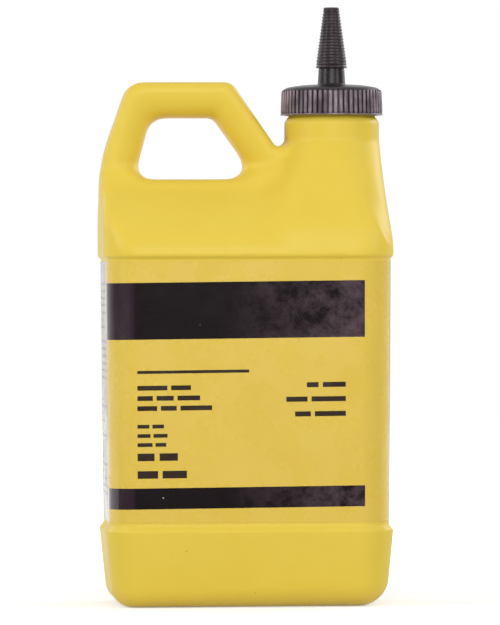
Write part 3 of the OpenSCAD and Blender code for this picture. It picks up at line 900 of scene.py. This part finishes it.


# Polypropylene for the cap and polyethylene for its cover, both injection-moulded in black: hard satin
# with chalk dust rubbed into it and flow marks that run up the part. It greys in worn patches. Where crests
# are given, as two distances from the neck's axis in metres, the grey is instead a painted highlight, patchy
# like wear, only from the first to the second.
def mouldedBlack(name, hexDark, hexWearAndHighlight, roughness, highlightCrests=None):
    material, tree, place = newMaterial(name)
    stretch = addNode(tree, "ShaderNodeMapping", {"Scale": (1.0, 1.0, 0.2), "Vector": place})
    streak = addNode(tree, "ShaderNodeTexNoise", {
        "Scale": 420.0, "Detail": 5.0, "Roughness": 0.7, "Vector": stretch})
    cloud = addNode(tree, "ShaderNodeTexNoise", {"Scale": 160.0, "Detail": 4.0, "Vector": place})
    both = addNode(tree, "ShaderNodeMath", {"operation": "MULTIPLY", 0: streak, 1: cloud})
    if highlightCrests:
        middle = addNode(tree, "ShaderNodeVectorMath", {
            "operation": "SUBTRACT", 0: place, 1: (neckX * mm, 0, 0)})
        level = addNode(tree, "ShaderNodeVectorMath", {"operation": "MULTIPLY", 0: middle, 1: (1, 1, 0)})
        away = addNode(tree, "ShaderNodeVectorMath", {"operation": "LENGTH", 0: level}).outputs["Value"]
        # painted highlight: the rib crests are lighter, broken up like wear
        crest = addNode(tree, "ShaderNodeMapRange", {
            "Value": away, "From Min": highlightCrests[0], "From Max": highlightCrests[1]})
        rubbedHighlight = addNode(tree, "ShaderNodeMapRange", {
            "Value": both, "From Min": 0.15, "From Max": 0.36, "To Min": 0.25})
        wearAndHighlight = addNode(tree, "ShaderNodeMath", {"operation": "MULTIPLY", 0: crest, 1: rubbedHighlight})
    else:
        wearAndHighlight = addNode(tree, "ShaderNodeMapRange", {"Value": both, "From Min": 0.16, "From Max": 0.42})
    tint = addNode(tree, "ShaderNodeMix", {
        "data_type": "RGBA", 0: wearAndHighlight, 6: linearColour(hexDark), 7: linearColour(hexWearAndHighlight)})
    rough = addNode(tree, "ShaderNodeMapRange", {
        "Value": streak, "To Min": roughness - 0.08, "To Max": roughness + 0.14})
    grain = addNode(tree, "ShaderNodeTexNoise", {"Scale": 1500.0, "Detail": 3.0, "Vector": place})
    bump = addNode(tree, "ShaderNodeBump", {"Height": grain, "Strength": 0.18, "Distance": 0.0002})
    addSurface(tree, {"Base Color": tint.outputs[2], "Roughness": rough, "IOR": 1.49,
                      "Specular IOR Level": 0.38, "Normal": bump})
    return material


def buildCap(material):
    bm = bmesh.new()
    addTurned(bm, capProfile(), cap["segments"], closed=True)
    sunk = cap["ribWidth"] / 2
    addMesh(bm, growMesh("skirtRibs", skirtRibs, {
        "Rib Count": cap["ribCount"],
        "Foot Radius": (cap["ribCrest"][0] - sunk) * mm,
        "Head Radius": (cap["ribCrest"][1] - sunk) * mm,
        "Lower End": (capLow[2] + cap["ribEnds"][0]) * mm,
        "Upper End": (domeTop - cap["ribEnds"][1]) * mm,
        "Rib Width": cap["ribWidth"] * mm,
        "Rib Fillet": cap["ribFillet"] * mm,
        "Axis X": neckX * mm,
        "Material": material}))
    return meshPiece("spoutCap", bm, [material], 50)


# the grey on the rib crests is a painted highlight
capPiece = buildCap(mouldedBlack("blackPolypropylene", "#1F171C", "#9A8994", 0.30, (0.0199, 0.0202)))
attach(capPiece, "cap")
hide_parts("spout_cap")
print("cap done")


cover = {
    "mouth": 6.2,                   # radius over the rings
    "top": 3.15,
    "straight": 2.4,                # the cone starts this far above the mouth
    "ringPitch": 1.25,
    "ringHeight": 0.34,             # half the height of a ring
    "ringDepth": 0.07,              # half the depth of a ring, as a share of its radius
    "ringEnds": (0.45, 0.9),        # left plain above the lip and below the top
    "core": 0.30,                   # the core lies this much inside the rings' crests
    "lip": 0.9,
    "gap": 0.2,                     # between the spout and the cover
    "segments": 96,
}


def coverRadius(z):
    low = coverLow[2] + cover["straight"]
    share = max(0, (z - low) / (coverHigh[2] - low))
    return cover["mouth"] + (cover["top"] - cover["mouth"]) * share


def coverProfile():
    low, high, tip = coverLow[2], coverHigh[2], capHigh[2]
    mouth, lip, core = cover["mouth"], low + cover["lip"], cover["core"]
    waist, tipRadius = cap["waist"] + cover["gap"], cap["tipRadius"] + cover["gap"]
    profile = [(waist + 0.15, low), (mouth - 0.25, low)]
    profile += arcPoints(mouth - 0.25, low + 0.25, 0.25, -60, 0, 3)
    profile += [(mouth, lip - 0.15), (mouth - core, lip + 0.1)]
    profile += [(coverRadius(z) - core, z) for z in np.linspace(low + 2.5, high - 1.2, 8)]
    profile += [(coverRadius(high - 0.7), high - 0.7)]
    profile += arcPoints(cover["top"] - 0.5, high - 0.5, 0.5, 10, 90, 5)
    profile += [(0.9, high), (0.3, high - 0.12), (0.02, high - 0.15), (0.02, tip + 0.05)]
    return profile + [(tipRadius - 0.1, tip + 0.05), (tipRadius, tip - 0.3), (waist, low + 0.4)]


# Grip rings stacked up the cone, each one as wide as the cone is at its height.
def gripRings(tree, given):
    circle = addNode(tree, "GeometryNodeCurvePrimitiveCircle", {"Resolution": 72, "Radius": 1.0})
    section = addNode(tree, "GeometryNodeCurvePrimitiveCircle", {
        "Resolution": 10, "Radius": given["Ring Depth"]})
    ring = addNode(tree, "GeometryNodeCurveToMesh", {"Curve": circle, "Profile Curve": section})
    index = addNode(tree, "GeometryNodeInputIndex")
    height = addNode(tree, "ShaderNodeMath", {
        "operation": "MULTIPLY_ADD", 0: index, 1: given["Ring Pitch"], 2: given["First Height"]})
    place = addNode(tree, "ShaderNodeCombineXYZ", {0: given["Axis X"], 2: height})
    points = addNode(tree, "GeometryNodePoints", {"Count": given["Ring Count"], "Position": place})
    grown = addNode(tree, "ShaderNodeMath", {
        "operation": "MULTIPLY_ADD", 0: index, 1: given["Radius Step"], 2: given["First Radius"]})
    wide = addNode(tree, "ShaderNodeMath", {"operation": "MINIMUM", 0: grown, 1: given["Mouth Radius"]})
    tall = addNode(tree, "ShaderNodeMath", {
        "operation": "DIVIDE", 0: given["Ring Height"], 1: given["Ring Depth"]})
    scale = addNode(tree, "ShaderNodeCombineXYZ", {0: wide, 1: wide, 2: tall})
    return addNode(tree, "GeometryNodeInstanceOnPoints", {"Points": points, "Instance": ring, "Scale": scale})


def buildCover(material):
    bm = bmesh.new()
    addTurned(bm, coverProfile(), cover["segments"], closed=True)
    bmesh.ops.remove_doubles(bm, verts=bm.verts, dist=0.001)
    fromLip, fromTop = cover["ringEnds"]
    firstZ = coverLow[2] + cover["lip"] + fromLip + cover["ringHeight"]
    coneZ = coverLow[2] + cover["straight"]
    taper = (cover["top"] - cover["mouth"]) / (coverHigh[2] - coneZ)
    unitCrest = 1 + cover["ringDepth"]          # the crest's radius on a ring whose own radius is 1
    addMesh(bm, growMesh("gripRings", gripRings, {
        "Ring Count": int((coverHigh[2] - fromTop - firstZ) / cover["ringPitch"]) + 1,
        "Ring Pitch": cover["ringPitch"] * mm,
        "Ring Height": cover["ringHeight"] * mm,
        "Ring Depth": cover["ringDepth"],
        "First Height": firstZ * mm,
        "First Radius": (cover["mouth"] + taper * (firstZ - coneZ)) / unitCrest * mm,
        "Radius Step": taper * cover["ringPitch"] / unitCrest * mm,
        "Mouth Radius": cover["mouth"] / unitCrest * mm,
        "Axis X": neckX * mm,
        "Material": material}))
    return meshPiece("tipCover", bm, [material], 60)


coverPiece = buildCover(mouldedBlack("blackPolyethylene", "#2B2126", "#41363D", 0.34))
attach(coverPiece, "cover")
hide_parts("tip_cover")
print("cover done")


# Expanded polyethylene sheet, punched: off-white, matte, with closed cells about half a millimetre across.
def foamSheet():
    material, tree, place = newMaterial("expandedPolyethylene")
    cells = addNode(tree, "ShaderNodeTexVoronoi", {"Scale": 2000.0, "Vector": place})
    tint = addNode(tree, "ShaderNodeMix", {
        "data_type": "RGBA", 0: cells, 6: linearColour("#EFEDE6"), 7: linearColour("#D9D6CC")})
    bump = addNode(tree, "ShaderNodeBump", {"Height": cells, "Strength": 0.4, "Distance": 0.0002})
    addSurface(tree, {"Base Color": tint.outputs[2], "Roughness": 0.85, "IOR": 1.5, "Normal": bump})
    return material


# Ground chalk with carbon black in it: a soft dead-matte powder that clumps a little.
def chalkPowder():
    material, tree, place = newMaterial("blackChalkPowder")
    lumps = addNode(tree, "ShaderNodeTexNoise", {"Scale": 320.0, "Detail": 8.0, "Vector": place})
    tint = addNode(tree, "ShaderNodeMix", {
        "data_type": "RGBA", 0: lumps, 6: linearColour("#191919"), 7: linearColour("#2B2A2A")})
    bump = addNode(tree, "ShaderNodeBump", {"Height": lumps, "Strength": 0.8, "Distance": 0.0008})
    addSurface(tree, {"Base Color": tint.outputs[2], "Roughness": 1.0, "Specular IOR Level": 0.2,
                      "Normal": bump})
    return material


powder = {
    "gap": 0.3,                     # between the powder and the jug's inside
    "grid": 2.2,
}


# The powder fills the jug up to a level top.
def buildChalk(material):
    bm = bmesh.new()
    inside = jug["wall"] + powder["gap"]
    foot, brim = addWall(bm, inside, chalkLow[2] + powder["gap"])
    addUnderside(bm, foot, [(ringInset() + 2, chalkLow[2]), (ringInset() + 9, chalkLow[2])])

    def chalkField(x, y, z):
        return np.maximum(jugField(x, y, z) + inside, z - chalkHigh[2])

    seam = addNet(bm, chalkField, powder["grid"], 2)[0]
    stitchLoops(bm, brim, seam, 0)
    return meshPiece("chalkPowder", bm, [material])


chalkPiece = buildChalk(chalkPowder())
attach(chalkPiece, "bottle")
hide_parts("chalk_fill")

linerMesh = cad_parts["cap_liner"].data
linerMesh.materials.clear()
linerMesh.materials.append(foamSheet())
print("powder and liner done")


# Lengths from here on are in metres.
stage = {
    "floor": ((-3.0, -3.0), (3.0, 3.0), -0.0002),           # two corners and a height
    "paperColour": (0.75, 0.75, 0.75, 1.0),
    "floorGlow": (0.5, 0.95),       # beside the jug, and far from it
    "glowReach": (0.1, 0.5),
    "cloth": ((-1.6, -2.8), (1.6, -0.045), 0.0004),
    "clothColour": (0.16, 0.15, 0.15, 1.0),
    "worldLight": 0.27,
    "mirrored": (0.15, 1.0),        # what reflections see in front of the jug, and above and behind it
    "lampAim": (0, 0, 0.12),
    "lamps": {                      # place, size, and power in watts
        "topBox": ((0.0, -0.1, 1.7), (1.5, 1.3), 1.8),
        "frontBox": ((0.0, -2.5, 0.95), (1.4, 1.0), 23.0),
        "leftBox": ((-1.80, -0.88, 0.95), (0.4, 1.3), 14.5),
        "rightBox": ((1.53, -1.29, 0.95), (0.4, 1.3), 10.0),
        "backLeftBox": ((-1.9, 1.35, 1.2), (0.9, 1.2), 9.0),
        "backRightBox": ((1.9, 1.35, 1.2), (0.9, 1.2), 16.0),
    },
}


def addFlat(name, low, high, level, material):
    mesh = bpy.data.meshes.new(name)
    corners = [(low[0], low[1], level), (high[0], low[1], level), (high[0], high[1], level),
               (low[0], high[1], level)]
    mesh.from_pydata(corners, [], [(0, 1, 2, 3)])
    mesh.materials.append(material)
    sheet = bpy.data.objects.new(name, mesh)
    bpy.context.scene.collection.objects.link(sheet)
    return sheet


# White paper that takes the jug's shadow and is white where it is seen directly or in a reflection.
def whitePaper():
    material, tree, place = newMaterial("whitePaper")
    paper = addNode(tree, "ShaderNodeBsdfDiffuse", {"Color": stage["paperColour"]})
    path = addNode(tree, "ShaderNodeLightPath").outputs
    seen = addNode(tree, "ShaderNodeMath", {
        "operation": "MAXIMUM", 0: path["Is Camera Ray"], 1: path["Is Glossy Ray"]})
    seen = addNode(tree, "ShaderNodeMath", {"operation": "MAXIMUM", 0: seen, 1: path["Is Transmission Ray"]})
    away = addNode(tree, "ShaderNodeVectorMath", {"operation": "LENGTH", 0: place}).outputs["Value"]
    wider = addNode(tree, "ShaderNodeMapRange", {
        "interpolation_type": "SMOOTHSTEP", "Value": away,
        "From Min": stage["glowReach"][0], "From Max": stage["glowReach"][1],
        "To Min": stage["floorGlow"][0], "To Max": stage["floorGlow"][1]})
    glow = addNode(tree, "ShaderNodeMath", {"operation": "MULTIPLY", 0: seen, 1: wider})
    light = addNode(tree, "ShaderNodeEmission", {"Strength": glow})
    both = addNode(tree, "ShaderNodeAddShader", {0: paper, 1: light})
    addNode(tree, "ShaderNodeOutputMaterial", {"Surface": both})
    return material


# A dark cloth on the floor in front of the jug, seen only in reflections, keeps the printed bands dark.
def addCloth():
    material, tree = newMaterial("darkCloth")[:2]
    cloth = addNode(tree, "ShaderNodeBsdfDiffuse", {"Color": stage["clothColour"]})
    addNode(tree, "ShaderNodeOutputMaterial", {"Surface": cloth})
    sheet = addFlat("darkCloth", *stage["cloth"], material)
    sheet.visible_camera = False
    sheet.visible_diffuse = False
    sheet.visible_shadow = False
    sheet.visible_transmission = False


# White where it is seen directly and an even light for diffuse surfaces; reflections fade to dark in front.
def makeWorld():
    world = bpy.data.worlds.new("studio")
    bpy.context.scene.world = world
    world.use_nodes = True
    tree = world.node_tree
    tree.nodes.clear()
    path = addNode(tree, "ShaderNodeLightPath").outputs
    direction = addNode(tree, "ShaderNodeTexCoord").outputs["Generated"]
    upAndBack = addNode(tree, "ShaderNodeVectorMath", {
        "operation": "DOT_PRODUCT", 0: direction, 1: (0, 1, 1)})
    mirrored = addNode(tree, "ShaderNodeMapRange", {
        "interpolation_type": "SMOOTHSTEP", "Value": upAndBack.outputs["Value"], "From Min": 0.0,
        "From Max": 0.75, "To Min": stage["mirrored"][0], "To Max": stage["mirrored"][1]})
    bounced = addNode(tree, "ShaderNodeMapRange", {
        "Value": path["Is Glossy Ray"], "To Min": stage["worldLight"], "To Max": mirrored})
    direct = addNode(tree, "ShaderNodeMath", {
        "operation": "MAXIMUM", 0: path["Is Camera Ray"], 1: path["Is Transmission Ray"]})
    strength = addNode(tree, "ShaderNodeMath", {"operation": "MAXIMUM", 0: direct, 1: bounced})
    sky = addNode(tree, "ShaderNodeBackground", {"Color": (1, 1, 1, 1), "Strength": strength})
    addNode(tree, "ShaderNodeOutputWorld", {"Surface": sky})


def addLamp(name, place, size, power):
    lamp = bpy.data.lights.new(name, "AREA")
    lamp.shape = "RECTANGLE"
    lamp.size, lamp.size_y = size
    lamp.energy = power
    holder = bpy.data.objects.new(name, lamp)
    holder.location = place
    turn = (Vector(stage["lampAim"]) - Vector(place)).to_track_quat("-Z", "Y")
    holder.rotation_euler = turn.to_euler()
    bpy.context.scene.collection.objects.link(holder)


addFlat("floor", *stage["floor"], whitePaper())
addCloth()
makeWorld()
for lampName, lampSettings in stage["lamps"].items():
    addLamp(lampName, *lampSettings)

view = {
    "azimuth": -4.0,                # degrees; the jug's left side just shows
    "distance": 2.5,
    "height": 0.135,
    "aim": (0.0022, 0.0, 0.1174),
    "roll": -0.18,                  # degrees
    "sensor": 36.0,                 # millimetres
    "frameHeight": 0.2524,          # how high the view is where the jug stands
}


def makeCamera():
    azimuth = math.radians(view["azimuth"])
    camera = bpy.data.cameras.new("camera")
    camera.sensor_width = view["sensor"]
    camera.lens = view["sensor"] * view["distance"] / view["frameHeight"]
    camera.clip_end = 50
    holder = bpy.data.objects.new("camera", camera)
    bpy.context.scene.collection.objects.link(holder)
    place = Vector((math.sin(azimuth), -math.cos(azimuth), 0)) * view["distance"]
    place.z = view["height"]
    holder.location = place
    turn = (Vector(view["aim"]) - place).to_track_quat("-Z", "Y")
    holder.rotation_euler = turn.to_euler()
    holder.rotation_euler.rotate_axis("Z", math.radians(view["roll"]))
    bpy.context.scene.camera = holder


makeCamera()
bpy.context.scene.view_settings.view_transform = "Standard"
print("stage done")

bpy.context.view_layer.update()
